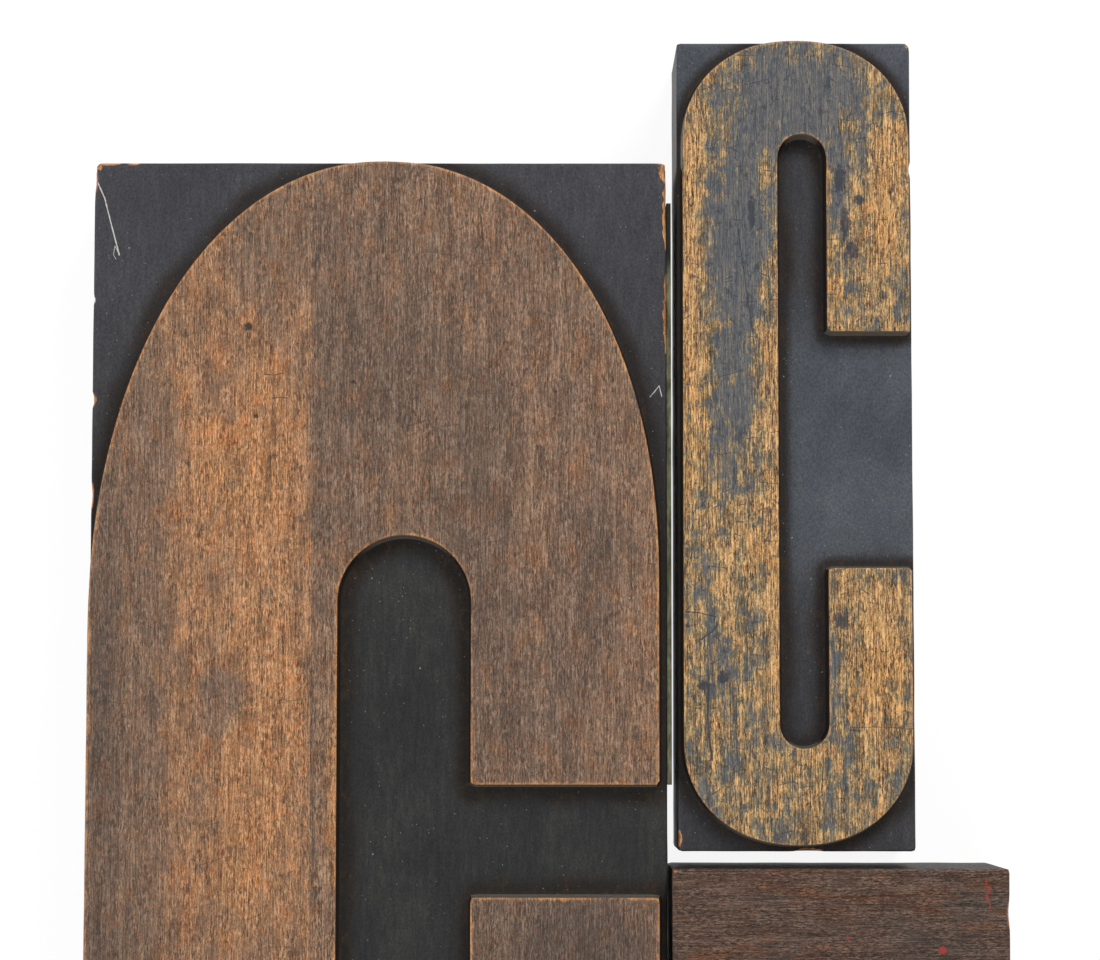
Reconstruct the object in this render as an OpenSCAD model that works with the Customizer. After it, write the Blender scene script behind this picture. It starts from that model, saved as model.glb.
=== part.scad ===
// Wood letterpress type, lying face up and close together as a printer sets it:
// a wide letter block glued up from three staves, with a strip of card glued to its side,
// a narrow letter block cut from one piece, and a plain block with no letter.
// Millimetres, +Z up. The origin is at the middle of the set's outer box, on the surface
// that the blocks lie on. +Y is towards the letters' heads.

/* [Type] */
// Size of one line, the pica that heights of wood type are counted in
line = 4.2175; // [4.2:0.0025:4.24]
// Height of every block from its foot to its printing face, known as type high
type_high = 23.317; // [22:0.001:25]
// Depth of the routed ground below the printing face
relief = 3; // [2:0.1:4.5]

/* [Wide letter] */
// Height of the wide letter's block, in lines
wide_lines = 50; // [48:1:54]
// Width of the wide letter's block
wide_w = 89.7; // [86:0.1:96]
// Width of the stave on the left, up to the first glue line
wide_left_stave = 34.6; // [32:0.1:36]
// Width of the middle stave, between the two glue lines
wide_middle_stave = 31.7; // [28:0.1:34]
// Width of the letter's heavy left stem
wide_stem = 38.7; // [37:0.1:41]
// Width of the counter, the channel inside the letter
wide_counter = 20.5; // [14:0.1:22]
// Height of the curved stroke above and below the counter
wide_bar = 58.6; // [50:0.1:66]
// Height of the long curve at the left of each rounded end
wide_left_arch = 74; // [60:0.5:80]
// Height of the shorter curve at the right of each rounded end
wide_right_arch = 65; // [56:0.5:70]
// Distance from the letter's left edge to the crown of each rounded end
wide_crown = 45.7; // [42:0.1:48]
// Gap between the letter's two ends on the right
wide_mouth = 17.1; // [12:0.1:26]
// How far the middle of that gap lies above the middle of the letter
wide_mouth_rise = -0.3; // [-3:0.1:3]

/* [Packing strip] */
// Thickness of the card glued to the wide block's right side
strip_t = 0.7; // [0.3:0.1:0.8]
// Length of the card
strip_l = 90.9; // [60:0.1:95]
// Height of the card
strip_h = 18; // [10:0.5:19]
// Distance from the wide block's lower edge to the card
strip_start = 113.7; // [110:0.1:118]

/* [Narrow letter] */
// Height of the narrow letter's block, in lines
narrow_lines = 30; // [28:1:34]
// Width of the narrow letter's block
narrow_w = 36.75; // [35:0.05:42]
// Width of the narrow letter's stem
narrow_stem = 14.9; // [12:0.1:16]
// Width of the narrow letter's counter
narrow_counter = 7.5; // [6:0.1:9]
// Height of the curved stroke above and below the narrow counter
narrow_bar = 14.9; // [12:0.1:18]
// Height of each rounded end of the narrow letter
narrow_arch = 16.2; // [12:0.1:18]
// Gap between the narrow letter's two ends on the right
narrow_mouth = 36.7; // [30:0.1:44]
// How far the middle of that gap lies above the middle of the letter
narrow_mouth_rise = -1.6; // [-4:0.1:4]

/* [Plain block] */
// Width of the plain block
plain_w = 51.8; // [46:0.1:60]
// Depth of the plain block, in lines
plain_lines = 10; // [6:1:13]

/* [Layout] */
// Gap between the wide block and the narrow block, which the card stands in
narrow_gap = 1.55; // [1.2:0.05:3]
// Gap between the wide block and the plain block
plain_gap = 0.5; // [0.4:0.1:3]
// How far the narrow block stands above the wide block's top edge
narrow_rise = 19.1; // [10:0.1:30]
// Gap between the narrow block's lower edge and the plain block's upper edge
row_gap = 2.4; // [0.6:0.1:5]

/* [Hidden] */

arch_steps = 32;
wide_power = 2.12;
narrow_power = 2.15;
round_power = 2;
over = 1;

// Clear ground left round a letter: [left, right, bottom, top]
wide_margin = [0.05, 1.3, 0.2, 0.2];
narrow_margin = [0.8, 0.55, 1, 0.2];

wide_h = wide_lines * line;
narrow_h = narrow_lines * line;
plain_h = plain_lines * line;
ground = type_high - relief;
strip_drop = 0.8;

// Lower left corners of the blocks, counted from the wide block's
narrow_at = [wide_w + narrow_gap, wide_h + narrow_rise - narrow_h];
plain_at = [wide_w + plain_gap, narrow_at.y - row_gap - plain_h];

set_w = max(narrow_at.x + narrow_w, plain_at.x + plain_w);
set_h = wide_h + narrow_rise;
corner = [-set_w / 2, -set_h / 2, 0];

maple = [0.58, 0.41, 0.27];
dull_maple = [0.47, 0.37, 0.3];
old_maple = [0.62, 0.45, 0.24];
dark_wood = [0.34, 0.27, 0.24];
olive_card = [0.42, 0.42, 0.34];

// Quarter of a superellipse of half width a and height b, rising from its side to its crown
function quarter(a, b, power) = [
    for (i = [0 : arch_steps])
        let (t = 90 * i / arch_steps)
        [a * pow(cos(t), 2 / power), b * pow(sin(t), 2 / power)]
];

function backwards(points) = [for (i = [len(points) - 1 : -1 : 0]) points[i]];

// Upright oblong with its lower left corner at the origin. Each end is rounded by a curve
// of height left at the left of its crown and another of height right at the right.
function oblong_points(w, h, left, right, crown, power) =
    let (l = quarter(crown, left, power), r = quarter(w - crown, right, power))
    concat(
        [for (p = r) [crown + p.x, h - right + p.y]],
        [for (p = backwards(l)) [crown - p.x, h - left + p.y]],
        [for (p = l) [crown - p.x, left - p.y]],
        [for (p = backwards(r)) [crown + p.x, right - p.y]]
    );

module oblong(w, h, left, right, crown, power, high) {
    linear_extrude(high) polygon(oblong_points(w, h, left, right, crown, power));
}

// Channel routed inside a letter: a counter with half-round ends down its middle, and a
// mouth that opens the counter to the right. Its origin is the letter's lower left corner.
module channel(w, h, stem, counter, bar, mouth, mouth_rise) {
    translate([stem, bar, -over])
        oblong(counter, h - 2 * bar, counter / 2, counter / 2, counter / 2,
            round_power, relief + 2 * over);
    translate([stem + counter / 2, (h - mouth) / 2 + mouth_rise, -over])
        cube([w, mouth, relief + 2 * over]);
}

module wide_letter() {
    w = wide_w - wide_margin[0] - wide_margin[1];
    h = wide_h - wide_margin[2] - wide_margin[3];
    cube([wide_w, wide_h, ground]);
    translate([wide_margin[0], wide_margin[2], ground])
        difference() {
            oblong(w, h, wide_left_arch, wide_right_arch, wide_crown, wide_power, relief);
            channel(w, h, wide_stem, wide_counter, wide_bar, wide_mouth, wide_mouth_rise);
        }
}

module narrow_letter() {
    w = narrow_w - narrow_margin[0] - narrow_margin[1];
    h = narrow_h - narrow_margin[2] - narrow_margin[3];
    cube([narrow_w, narrow_h, ground]);
    translate([narrow_margin[0], narrow_margin[2], ground])
        difference() {
            oblong(w, h, narrow_arch, narrow_arch, w / 2, narrow_power, relief);
            channel(w, h, narrow_stem, narrow_counter, narrow_bar, narrow_mouth,
                narrow_mouth_rise);
        }
}

// The part of the wide letter's block between two upright cuts, at x = from and from + w
module stave(from, w) {
    translate(corner)
        intersection() {
            wide_letter();
            translate([from, -over, -over])
                cube([w, wide_h + 2 * over, type_high + 2 * over]);
        }
}

module wide_left_stave() {
    color(maple) stave(0, wide_left_stave);
}

module wide_middle_stave() {
    color(dull_maple) stave(wide_left_stave, wide_middle_stave);
}

module wide_right_stave() {
    from = wide_left_stave + wide_middle_stave;
    color(dull_maple) stave(from, wide_w - from);
}

module side_packing_strip() {
    color(olive_card)
        translate(corner + [wide_w, strip_start, ground - strip_drop - strip_h])
            cube([strip_t, strip_l, strip_h]);
}

module narrow_letter_block() {
    color(old_maple)
        translate(corner + [narrow_at.x, narrow_at.y, 0])
            narrow_letter();
}

module plain_block() {
    color(dark_wood)
        translate(corner + [plain_at.x, plain_at.y, 0])
            cube([plain_w, plain_h, type_high]);
}

wide_left_stave();
wide_middle_stave();
wide_right_stave();
side_packing_strip();
narrow_letter_block();
plain_block();
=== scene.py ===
"""Wood letterpress type: the looks of a wide letter, a narrow letter and a plain block.

Each block's CAD solid is replaced by a mesh of the same size, with rounded arrises, sloped
letter walls, chips and dents, and gets a material of side-grain maple and old ink.
Lengths inside this file are in millimetres until a mesh is written, which is in metres.
"""

import math

import bpy
import numpy as np
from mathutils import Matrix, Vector, geometry, noise


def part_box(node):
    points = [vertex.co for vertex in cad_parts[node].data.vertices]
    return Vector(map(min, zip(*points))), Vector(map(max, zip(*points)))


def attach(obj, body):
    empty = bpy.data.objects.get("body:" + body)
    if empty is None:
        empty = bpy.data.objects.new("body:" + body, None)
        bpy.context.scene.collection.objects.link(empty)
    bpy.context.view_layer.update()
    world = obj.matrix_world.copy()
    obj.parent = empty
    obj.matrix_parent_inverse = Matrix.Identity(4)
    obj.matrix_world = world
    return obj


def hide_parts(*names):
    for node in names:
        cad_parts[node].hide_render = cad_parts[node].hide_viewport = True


MM = 0.001

# Lengths that count as nothing, and as no gap between points or triangulated points
TINY = 1e-9
SAME_PLACE = 1e-6
MERGE = 1e-4

# Letters, measured from the lower left corner of the letter's own outline
WIDE = {
    "margin": (0.05, 1.3, 0.2, 0.2),
    "stem": 38.7,
    "counter": 20.5,
    "bar": 58.6,
    "left_arch": 74.0,
    "right_arch": 65.0,
    "crown": 45.7,
    "mouth": 17.1,
    "mouth_rise": -0.3,
    "power": 2.12,
}
NARROW = {
    "margin": (0.8, 0.55, 1.0, 0.2),
    "stem": 14.9,
    "counter": 7.5,
    "bar": 14.9,
    "left_arch": 16.2,
    "right_arch": 16.2,
    "crown": 17.7,
    "mouth": 36.7,
    "mouth_rise": -1.6,
    "power": 2.15,
}

# Profile of a letter's edge, from the printing face down to the routed ground
RELIEF = 3.0
RIM_R = 0.28
WALL_RUN = 0.22
FILLET_R = 0.45
END_CORNER_R = 0.45

# Softened outer edges of a block
ARRIS_R = 0.3
CORNER_R = 0.55
FOOT_R = 0.35
WEAR_REACH = 1.2

# How far a chip's hollow runs in over the face and down the side
CHIP_IN = 2.5
CHIP_DOWN = 2.4

# Values of the attribute "inside": well away from any edge, and anywhere on a block's sides
FAR = 9.0
ON_SIDE = -6.0

# Rows of points in a mesh: in from a block's sides, each side of a letter's outline, down
# from the face, and round the foot, where a row is a height and an inset
SIDE_INSETS = (0.08, 0.2, 0.42, 0.8)
LETTER_RINGS = [RIM_R * share for share in (1.6, 1.0, 0.55, 0.2, 0)]
LETTER_RINGS += [-WALL_RUN * share for share in (0.5, 1.0)]
LETTER_RINGS += [-WALL_RUN - FILLET_R * share for share in (0.2, 0.5, 1.0)]
SIDE_DROPS = (0.25, 0.7, 1.4, 2.4, 6.0, 13.0)
FOOT_ROWS = ((FOOT_R, 0.0), (0.1, 0.12), (0.0, FOOT_R))

# Bands along those rows, and along the cuts between staves, that other points keep out of
CLEAR_OF_SIDES = 0.95
CLEAR_OF_CUTS = 0.3
CLEAR_BY_CHIPS = 0.1
CLEAR_INSIDE = RIM_R * 1.6 + 0.2
CLEAR_OUTSIDE = WALL_RUN + FILLET_R + 0.5

# Edges that turn more sharply than this, in degrees, are shaded as edges
SHARP = 40

# Points whose distance to an outline is worked out at one time
BATCH = 1500

# Woods and inks from dark to light, in screen values of 0 to 255
PALETTE = {
    "left_clean": ((88, 56, 34), (163, 117, 79), (226, 172, 126)),
    "left_hazy": ((77, 58, 46), (119, 94, 76), (170, 138, 113)),
    "middle_clean": ((75, 53, 39), (126, 98, 77), (184, 149, 122)),
    "middle_hazy": ((69, 54, 45), (104, 84, 70), (154, 128, 109)),
    "right_clean": ((77, 55, 41), (127, 99, 78), (186, 151, 124)),
    "right_hazy": ((69, 54, 45), (106, 85, 71), (156, 130, 111)),
    "wide_glow": ((92, 58, 32), (173, 123, 76), (236, 180, 122)),
    "wide_grime": ((60, 49, 44), (86, 72, 63), (122, 104, 93)),
    "wide_rubbed": ((146, 94, 52), (196, 134, 80), (230, 176, 118)),
    "narrow_gold": ((56, 38, 26), (172, 132, 88), (246, 198, 136)),
    "narrow_film": ((56, 54, 44), (108, 100, 76), (164, 146, 108)),
    "narrow_inky": ((68, 72, 78), (86, 90, 96), (120, 116, 108)),
    "narrow_rubbed": ((132, 92, 54), (194, 144, 88), (232, 186, 128)),
    "plain_brown": ((46, 31, 22), (83, 63, 52), (134, 109, 94)),
    "plain_cloud": ((42, 36, 33), (70, 62, 58), (104, 92, 82)),
    "plain_bare": ((96, 58, 38), (150, 96, 62), (190, 134, 90)),
    "letter_bare": ((112, 66, 38), (178, 118, 70), (224, 172, 118)),
    "stained_side": ((12, 10, 9), (24, 20, 17), (50, 38, 29)),
    "foot": ((96, 68, 44), (140, 104, 70), (176, 136, 94)),
    "dull_ink": ((28, 28, 28), (41, 41, 41), (58, 57, 55)),
    "grey_ink": ((50, 50, 54), (61, 60, 65), (74, 73, 76)),
    "blue_ink": ((58, 62, 70), (82, 86, 92)),
    "card": ((92, 92, 70), (168, 168, 136)),
}

# Colours that another colour is multiplied by
ORANGE_TINT = (1.12, 0.8, 0.56, 1)
GREEN_TINT = (0.76, 0.92, 0.84, 1)
AMBER_TINT = (1.2, 0.92, 0.66, 1)
GOLD_TINT = (1.0, 0.85, 0.6, 1)
RUSSET_TINT = (1.25, 0.85, 0.6, 1)
DARKER = (0.55, 0.55, 0.55, 1)
LIGHTER = (1.45, 1.45, 1.45, 1)

# The wide letter's staves from left to right, with their dark blots and lines and the pale
# threads on them. Places are measured from the left end of the block's head.
WIDE_STAVES = [
    {
        "wood": "left",
        "blots": [(24.6, -26.2, 0.75, 0.6), (25.9, -40.2, 0.4, 0.4)],
        "lines": [
            ([(27.1, -33.7), (28.6, -33.9), (29.9, -33.6)], 0.12),
            ([(28.4, -37.5), (29.7, -37.3), (30.8, -37.5)], 0.12),
        ],
        "threads": [
            ([(0.5, -3.2), (1.6, -5.6), (2.6, -9.4), (4.0, -14.6)], 0.17),
            ([(4.0, -14.6), (3.3, -13.2), (3.1, -14.6), (3.5, -15.3)], 0.07),
        ],
    },
    {
        "wood": "middle",
        "blots": [(40.9, -34.9, 0.4, 0.4)],
        "lines": [],
        "threads": [],
    },
    {
        "wood": "right",
        "blots": [],
        "lines": [],
        "threads": [([(87.1, -36.9), (88.5, -35.2), (88.9, -36.8)], 0.15)],
    },
]

# Patches of each letter's face: the place, the reach, and how dull, below 0 where brighter.
# Places are measured from the block's lower left corner.
WIDE_PATCHES = [
    (5, 145, 13, 75, 0.5),
    (2, 125, 5, 60, 0.5),
    (2, 86, 12, 18, 0.4),
    (29, 199, 13, 15, 0.4),
    (20, 161, 6, 15, -0.35),
    (38, 112, 4, 36, -0.5),
    (61, 170, 9, 13, 0.45),
    (76, 89, 21, 16, 1.1),
    (6, 100, 11, 34, 0.3),
    (22, 127, 6, 8, 0.4),
    (27, 163, 9, 27, -0.4),
    (27, 115, 9, 32, -0.35),
    (44, 179, 14, 18, 0.35),
    (66, 140, 20, 40, 0.2),
    (60, 142, 6, 26, 0.2),
    (58, 153, 8, 10, 0.2),
    (69, 148, 5, 34, -0.25),
    (87, 133, 4, 24, -0.25),
    (78, 139, 5, 24, 0.15),
    (57, 204, 12, 7, -0.15),
    (36, 161, 4, 20, 0.15),
]
NARROW_PATCHES = [
    (19, 117, 16, 14, 0.5),
    (10, 98, 8, 24, 0.32),
    (9, 71, 6, 24, 0.3),
    (9, 90, 7, 22, 0.15),
    (2, 85, 2.5, 45, -0.3),
    (15, 45, 3, 34, -0.25),
    (6, 29, 4, 12, 0.2),
    (6, 8, 5, 7, 0.12),
    (25, 103, 2.5, 12, 0.25),
    (24, 25, 2.5, 15, 0.2),
    (33, 104, 4, 18, -0.25),
    (31, 30, 7, 20, -0.25),
    (13.5, 77, 3, 18, -0.2),
    (9, 46, 4, 20, -0.12),
]

# Single marks on the narrow letter and the plain block, measured from the same corner
NARROW_BLOTS = [
    (6.9, 26.9, 1.0, 1.0),
    (25.1, 35.5, 1.4, 1.6),
    (25.4, 104.2, 1.1, 2.2),
    (26.3, 97.1, 0.9, 2.6),
    (28.5, 101.0, 0.8, 0.8),
    (27.2, 93.2, 1.2, 1.6),
    (4.0, 25.5, 1.2, 0.8),
    (11.6, 99.0, 0.6, 3.0),
]
NARROW_LINES = [
    ([(9.0, 100.2), (9.9, 93.2), (11.0, 85.3), (12.2, 76.0), (13.1, 66.6)], 0.14),
    ([(4.7, 27.0), (4.5, 20.2), (5.2, 14.1)], 0.3),
    ([(11.2, 17.8), (11.0, 13.8)], 0.22),
    ([(1.2, 36.9), (3.4, 36.7), (5.8, 36.1)], 0.18),
    ([(3.4, 32.5), (5.2, 33.8), (6.2, 35.0)], 0.2),
    ([(25.3, 19.0), (30.0, 19.2), (34.7, 19.0)], 0.09),
]
RED_SPOTS = [
    (41.4, 29.8, 0.6, 0.5),
    (26.9, 31.6, 0.2, 0.3),
    (48.2, 40.1, 0.16, 0.7),
    (48.6, 38.9, 0.2, 0.6),
    (48.3, 37.8, 0.22, 0.5),
    (48.7, 36.7, 0.14, 0.5),
]


# ---------------------------------------------------------------- outlines


def quarter(a, b, power, steps=26):
    """Quarter of a superellipse, from its side to its crown."""
    t = np.linspace(0, math.pi / 2, steps)
    x = a * np.abs(np.cos(t)) ** (2 / power)
    y = b * np.abs(np.sin(t)) ** (2 / power)
    x[-1] = 0
    y[0] = 0
    return np.column_stack([x, y])


def arc(centre, radius, start, end, steps):
    """Points of a circle's arc between two angles in degrees."""
    t = np.radians(np.linspace(start, end, steps))
    return np.column_stack([centre[0] + radius * np.cos(t), centre[1] + radius * np.sin(t)])


def resample(points, step):
    """The closed outline again, with points about one step apart along it."""
    closed = np.vstack([points, points[:1]])
    gaps = np.linalg.norm(np.diff(closed, axis=0), axis=1)
    keep = np.concatenate([[True], gaps[:-1] > SAME_PLACE, [True]])
    closed = closed[keep]
    along = np.concatenate([[0], np.cumsum(np.linalg.norm(np.diff(closed, axis=0), axis=1))])
    count = max(16, int(round(along[-1] / step)))
    at = np.linspace(0, along[-1], count, endpoint=False)
    return np.column_stack([np.interp(at, along, closed[:, i]) for i in (0, 1)])


def letter_outline(size, letter, step):
    """Anticlockwise outline of the raised letter, in the block's own millimetres."""
    left, right, bottom, top = letter["margin"]
    x0, x1 = left, size[0] - right
    y0, y1 = bottom, size[1] - top
    crown = x0 + letter["crown"]
    middle = (y0 + y1) / 2 + letter["mouth_rise"]
    mouth_low, mouth_high = middle - letter["mouth"] / 2, middle + letter["mouth"] / 2
    counter_left = x0 + letter["stem"]
    counter_right = counter_left + letter["counter"]
    r = letter["counter"] / 2
    axis = (counter_left + counter_right) / 2
    low, high = y0 + letter["bar"] + r, y1 - letter["bar"] - r
    right_q = quarter(x1 - crown, letter["right_arch"], letter["power"])
    left_q = quarter(crown - x0, letter["left_arch"], letter["power"])
    c = END_CORNER_R
    parts = [
        arc((x1 - c, mouth_high + c), c, -90, 0, 5),
        right_q + [crown, y1 - letter["right_arch"]],
        left_q[::-1] * [-1, 1] + [crown, y1 - letter["left_arch"]],
        left_q * [-1, -1] + [crown, y0 + letter["left_arch"]],
        right_q[::-1] * [1, -1] + [crown, y0 + letter["right_arch"]],
        arc((x1 - c, mouth_low - c), c, 0, 90, 5),
        arc((counter_right + c, mouth_low - c), c, 90, 180, 5),
        arc((axis, low), r, 0, -180, 40),
        arc((axis, high), r, 180, 0, 40),
        arc((counter_right + c, mouth_high + c), c, 180, 270, 5),
    ]
    return resample(np.vstack(parts), step)


def offset(points, distance):
    """The outline moved to its left by a distance, so inwards on an anticlockwise one."""
    ahead = np.roll(points, -1, axis=0) - np.roll(points, 1, axis=0)
    ahead /= np.linalg.norm(ahead, axis=1)[:, None]
    return points + distance * np.column_stack([-ahead[:, 1], ahead[:, 0]])


def inside_distance(points, outline):
    """Distance from each point to the outline, positive inside it."""
    a, b = outline, np.roll(outline, -1, axis=0)
    ab = b - a
    length2 = (ab**2).sum(1)
    result = np.empty(len(points))
    for i in range(0, len(points), BATCH):
        p = points[i : i + BATCH, None, :]
        t = np.clip(((p - a) * ab).sum(2) / length2, 0, 1)
        gap = np.linalg.norm(p - (a + t[..., None] * ab), axis=2).min(1)
        py, px = p[:, :, 1], p[:, :, 0]
        spans = (a[:, 1] > py) != (b[:, 1] > py)
        rise = np.where(np.abs(ab[:, 1]) < TINY, TINY, ab[:, 1])
        cross = a[:, 0] + (py - a[:, 1]) / rise * ab[:, 0]
        inside = (spans & (px < cross)).sum(1) % 2 == 1
        result[i : i + BATCH] = np.where(inside, gap, -gap)
    return result


# ---------------------------------------------------------------- block meshes


def smoothstep(x, low, high):
    """0 below low, 1 above high, and a smooth rise between them."""
    t = np.clip((np.asarray(x, float) - low) / (high - low), 0, 1)
    return t * t * (3 - 2 * t)


def bump(points, centre, reach):
    """A round hump that is 1 at its centre and 0 from its reach outwards."""
    gap = np.linalg.norm((points - centre) / np.asarray(reach, float), axis=1)
    return smoothstep(-gap, -1, 0)


def edge_profile(inside):
    """How far below the printing face a letter's edge lies, by distance inside the outline."""
    drop = np.zeros(len(inside))
    rim = (inside >= 0) & (inside < RIM_R)
    drop[rim] = RIM_R - np.sqrt(np.maximum(0, RIM_R**2 - (RIM_R - inside[rim]) ** 2))
    out = -inside
    wall_drop = RELIEF - FILLET_R
    wall = (out > 0) & (out <= WALL_RUN)
    drop[wall] = RIM_R + (wall_drop - RIM_R) * (out[wall] / WALL_RUN)
    foot = (out > WALL_RUN) & (out < WALL_RUN + FILLET_R)
    s = (out[foot] - WALL_RUN) / FILLET_R
    drop[foot] = wall_drop + FILLET_R * np.sqrt(1 - (1 - s) ** 2)
    drop[out >= WALL_RUN + FILLET_R] = RELIEF
    return drop


def wobble(points, scale, seed):
    """Smooth noise from -1 to 1 at each point, at a scale in waves per millimetre."""
    return np.array(
        [noise.noise(Vector((x * scale, y * scale, seed))) for x, y in points]
    )


class Block:
    """One block of wood in its own millimetres, from its lower left corner on the bed."""

    def __init__(self, low, high, letter=None, step=1.0, spacing=1.6, seed=0):
        self.corner = np.array([low[0], low[1]]) / MM
        self.size = np.array([high[0] - low[0], high[1] - low[1]]) / MM
        self.high = high[2] / MM
        self.step = step
        self.spacing = spacing
        self.seed = seed
        self.outline = letter_outline(self.size, letter, step) if letter else None
        self.chips = []
        self.dents = []
        self.patches = []

    def border_gap(self, p):
        """Distance to the nearest of the block's four sides."""
        w, h = self.size
        return np.minimum.reduce([p[:, 0], w - p[:, 0], p[:, 1], h - p[:, 1]])

    def inside(self, p):
        """Distance inside the letter's outline. A plain block is all printing face."""
        if self.outline is None:
            return np.full(len(p), FAR)
        return np.clip(inside_distance(p, self.outline), -FAR, FAR)

    def wear(self, p):
        """How strongly each point is chipped, from 0 to 1, and how deep in millimetres."""
        strength, depth = np.zeros(len(p)), np.zeros(len(p))
        for x, y, rx, ry, deep in self.chips:
            ragged = 1 + 0.35 * wobble(p, 1.7, x + y)
            hump = bump((p - (x, y)) * ragged[:, None], (0, 0), (rx, ry))
            strength = np.maximum(strength, smoothstep(hump, 0.05, 0.5))
            depth += deep * hump
        return strength, depth

    def haze(self, p):
        """How dull the face is at each point, below 0 where it is brighter than usual."""
        total = np.zeros(len(p))
        for x, y, rx, ry, amount in self.patches:
            total += amount * bump(p, (x, y), (rx, ry))
        return total

    def top(self, p, gap):
        """Height of the top surface, which is the face, the walls and the routed ground."""
        inside = self.inside(p)
        z = self.high - edge_profile(inside)
        ground = smoothstep(-inside, WALL_RUN, WALL_RUN + 2)
        waves = 0.06 * wobble(p, 0.09, self.seed) + 0.035 * wobble(p, 0.6, self.seed + 5)
        z += ground * waves
        face = smoothstep(inside, 0.3, 3)
        hollow = 0.03 * (1 + wobble(p, 0.05, self.seed + 9))
        z -= face * hollow
        r = ARRIS_R * (1 + 0.45 * wobble(p, 0.12, self.seed + 3))
        near = gap < r
        z[near] -= (r - np.sqrt(np.maximum(0, r**2 - (r - gap) ** 2)))[near]
        for x, y, rx, ry, deep in self.dents:
            z -= deep * bump(p, (x, y), (rx, ry))
        return z, inside

    def place(self, p, gap, depth):
        """Plan positions after the upright corners are rounded and the sides are worn."""
        w, h = self.size
        q = p.copy()
        for cx in (0, 1):
            for cy in (0, 1):
                sign = np.array([1 - 2 * cx, 1 - 2 * cy])
                inner = np.array([cx * w, cy * h]) + sign * CORNER_R
                away = (inner - p) * sign
                square = away.max(1)
                inside = (away > 0).all(1)
                length = np.maximum(np.linalg.norm(away, axis=1), TINY)
                shift = away * (square / length)[:, None]
                q[inside] = (inner - shift * sign)[inside]
        pull = smoothstep(-gap, -WEAR_REACH, 0)
        inward = (np.array([w, h]) / 2 - p) * [h, w]
        side = np.abs(inward[:, 0]) > np.abs(inward[:, 1])
        along = np.where(side[:, None], [1, 0], [0, 1]) * np.sign(inward)
        waver = 0.05 * (1 + wobble(p, 0.15, self.seed + 21))
        return q + along * (pull * (waver + 0.55 * depth))[:, None]


def clipped(points, low, high):
    """Segments of a closed ring that meet a rectangle, cut a little way outside it."""
    slack = 0.02
    lo, hi = np.array(low) - slack, np.array(high) + slack
    out = []
    for a, b in zip(points, np.roll(points, -1, axis=0)):
        d = b - a
        t0, t1 = 0.0, 1.0
        for i in (0, 1):
            if abs(d[i]) < TINY:
                if a[i] < lo[i] or a[i] > hi[i]:
                    t0, t1 = 1.0, 0.0
                continue
            ta, tb = sorted(((lo[i] - a[i]) / d[i], (hi[i] - a[i]) / d[i]))
            t0, t1 = max(t0, ta), min(t1, tb)
        if t1 - t0 > SAME_PLACE:
            out.append((a + t0 * d, a + t1 * d))
    return out


def rectangle(low, high, step):
    """Points round a rectangle, anticlockwise, with its corners among them."""
    (x0, y0), (x1, y1) = low, high
    corners = [(x0, y0), (x1, y0), (x1, y1), (x0, y1), (x0, y0)]
    points = []
    for a, b in zip(corners, corners[1:]):
        count = max(1, int(round(math.dist(a, b) / step)))
        points += [tuple(np.add(a, np.subtract(b, a) * i / count)) for i in range(count)]
    return np.array(points)


def edge_segments(block, low, high):
    """Segments of the block's border and of every row of points along its edges."""
    border = rectangle(low, high, block.step)
    segments = list(zip(border, np.roll(border, -1, axis=0)))
    for inset in SIDE_INSETS:
        ring = rectangle((inset, inset), tuple(block.size - inset), block.step)
        segments += clipped(ring, low, high)
    if block.outline is not None:
        for distance in LETTER_RINGS:
            segments += clipped(offset(block.outline, distance), low, high)
    return segments


def field_points(block, x0, x1):
    """Points of an even grid and round every chip and dent, clear of the rows along edges."""
    s = block.spacing
    right, top = block.size
    points = []
    for row, y in enumerate(np.arange(s / 2, top, s * 0.87)):
        for x in np.arange(s * (0.3 + 0.5 * (row % 2)), right, s):
            if x0 + CLEAR_OF_CUTS < x < x1 - CLEAR_OF_CUTS:
                points.append((x, y))
    for x, y, rx, ry, _ in block.chips + block.dents:
        for share in (0.0, 0.3, 0.6, 0.9):
            for t in np.linspace(0, 2 * math.pi, 1 if share == 0 else 10, endpoint=False):
                at = (x + share * rx * math.cos(t), y + share * ry * math.sin(t))
                between = x0 + CLEAR_BY_CHIPS < at[0] < x1 - CLEAR_BY_CHIPS
                if between and CLEAR_BY_CHIPS < at[1] < top - CLEAR_BY_CHIPS:
                    points.append(at)
    points = np.array(points)
    clear = block.border_gap(points) > CLEAR_OF_SIDES
    if block.outline is not None:
        inside = block.inside(points)
        clear &= (inside > CLEAR_INSIDE) | (inside < -CLEAR_OUTSIDE)
    return points[clear]


def plan_triangles(block, x0, x1):
    """Triangles of a block's plan between two uprights, fine along every edge."""
    low, high = (x0, 0.0), (x1, block.size[1])
    points = [end for segment in edge_segments(block, low, high) for end in segment]
    edges = [(i, i + 1) for i in range(0, len(points), 2)]
    points += list(field_points(block, x0, x1))
    verts, _, faces, _, _, _ = geometry.delaunay_2d_cdt(
        [Vector(p) for p in points], edges, [], 0, MERGE, False
    )
    verts = np.array([tuple(v) for v in verts])
    faces = np.array([f for f in faces if len(f) == 3])
    middle = verts[faces].mean(1)
    faces = faces[((middle > low) & (middle < high)).all(1)]
    used = np.unique(faces)
    index = np.full(len(verts), -1)
    index[used] = np.arange(len(used))
    return np.clip(verts[used], low, high), index[faces]


def upward(plan, faces):
    """The plan's triangles, all anticlockwise, without any that have no area."""
    a, b, c = (plan[faces[:, i]] for i in (0, 1, 2))
    area = np.cross(b - a, c - a)
    faces = np.where((area < 0)[:, None], faces[:, ::-1], faces)
    return faces[np.abs(area) > TINY]


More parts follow.
